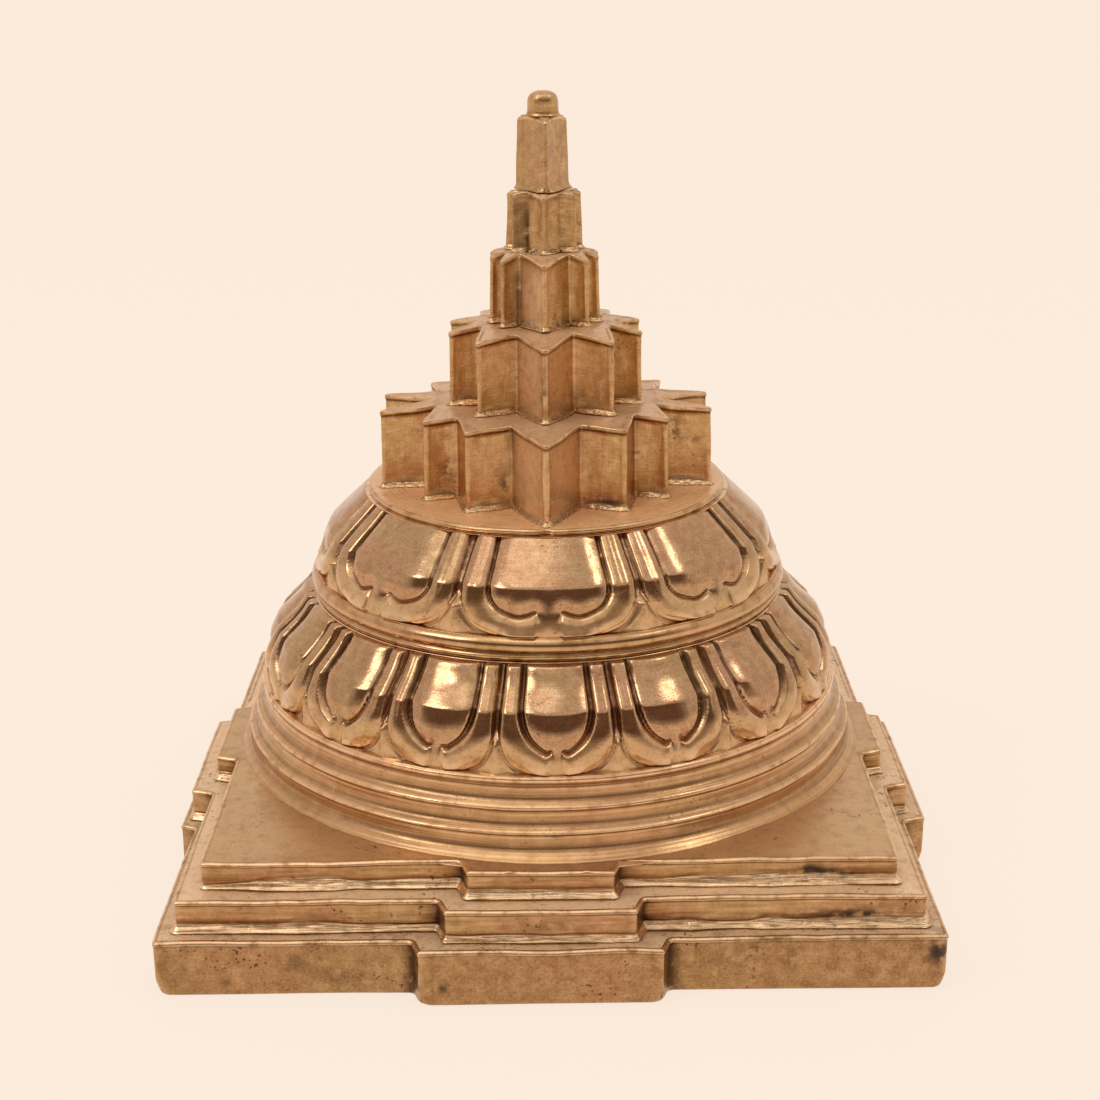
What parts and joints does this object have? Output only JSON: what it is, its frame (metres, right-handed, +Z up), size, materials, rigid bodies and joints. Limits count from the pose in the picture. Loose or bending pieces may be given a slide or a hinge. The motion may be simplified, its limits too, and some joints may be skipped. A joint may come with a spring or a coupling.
{
  "type": "meru shri yantra",
  "caption": "Free-standing cast bronze meru shri yantra: stepped square plinth with gates, ring moulding, carved lotuses and pointed tiers rising to a round knob.",
  "frame": {"origin": "centre of the plinth's underside", "axes": "+Z up, the pictured front faces -Y, +X to the viewer's right"},
  "size_m": [0.1064, 0.1064, 0.1072],
  "materials": {
    "plinth_bronze": "cast bronze, filed and rubbed, with pits and dark patina",
    "turned_bronze": "satin bronze with fine rings from turning",
    "polished_bronze": "polished bronze with dark lines in the carving",
    "tier_bronze": "filed bronze with bright worn edges"
  },
  "bodies": {
    "root": {"plinth_slab": "plinth_bronze", "middle_step": "plinth_bronze", "upper_step": "plinth_bronze", "ring_moulding": "turned_bronze", "sixteen_petal_lotus": "polished_bronze", "bead_plate": "turned_bronze", "eight_petal_lotus": "polished_bronze", "round_platform": "tier_bronze", "fourteen_point_tier": "tier_bronze", "outer_ten_point_tier": "tier_bronze", "inner_ten_point_tier": "tier_bronze", "eight_point_tier": "tier_bronze", "triangle_tier": "tier_bronze", "bindu_knob": "tier_bronze"}
  },
  "joints": []
}
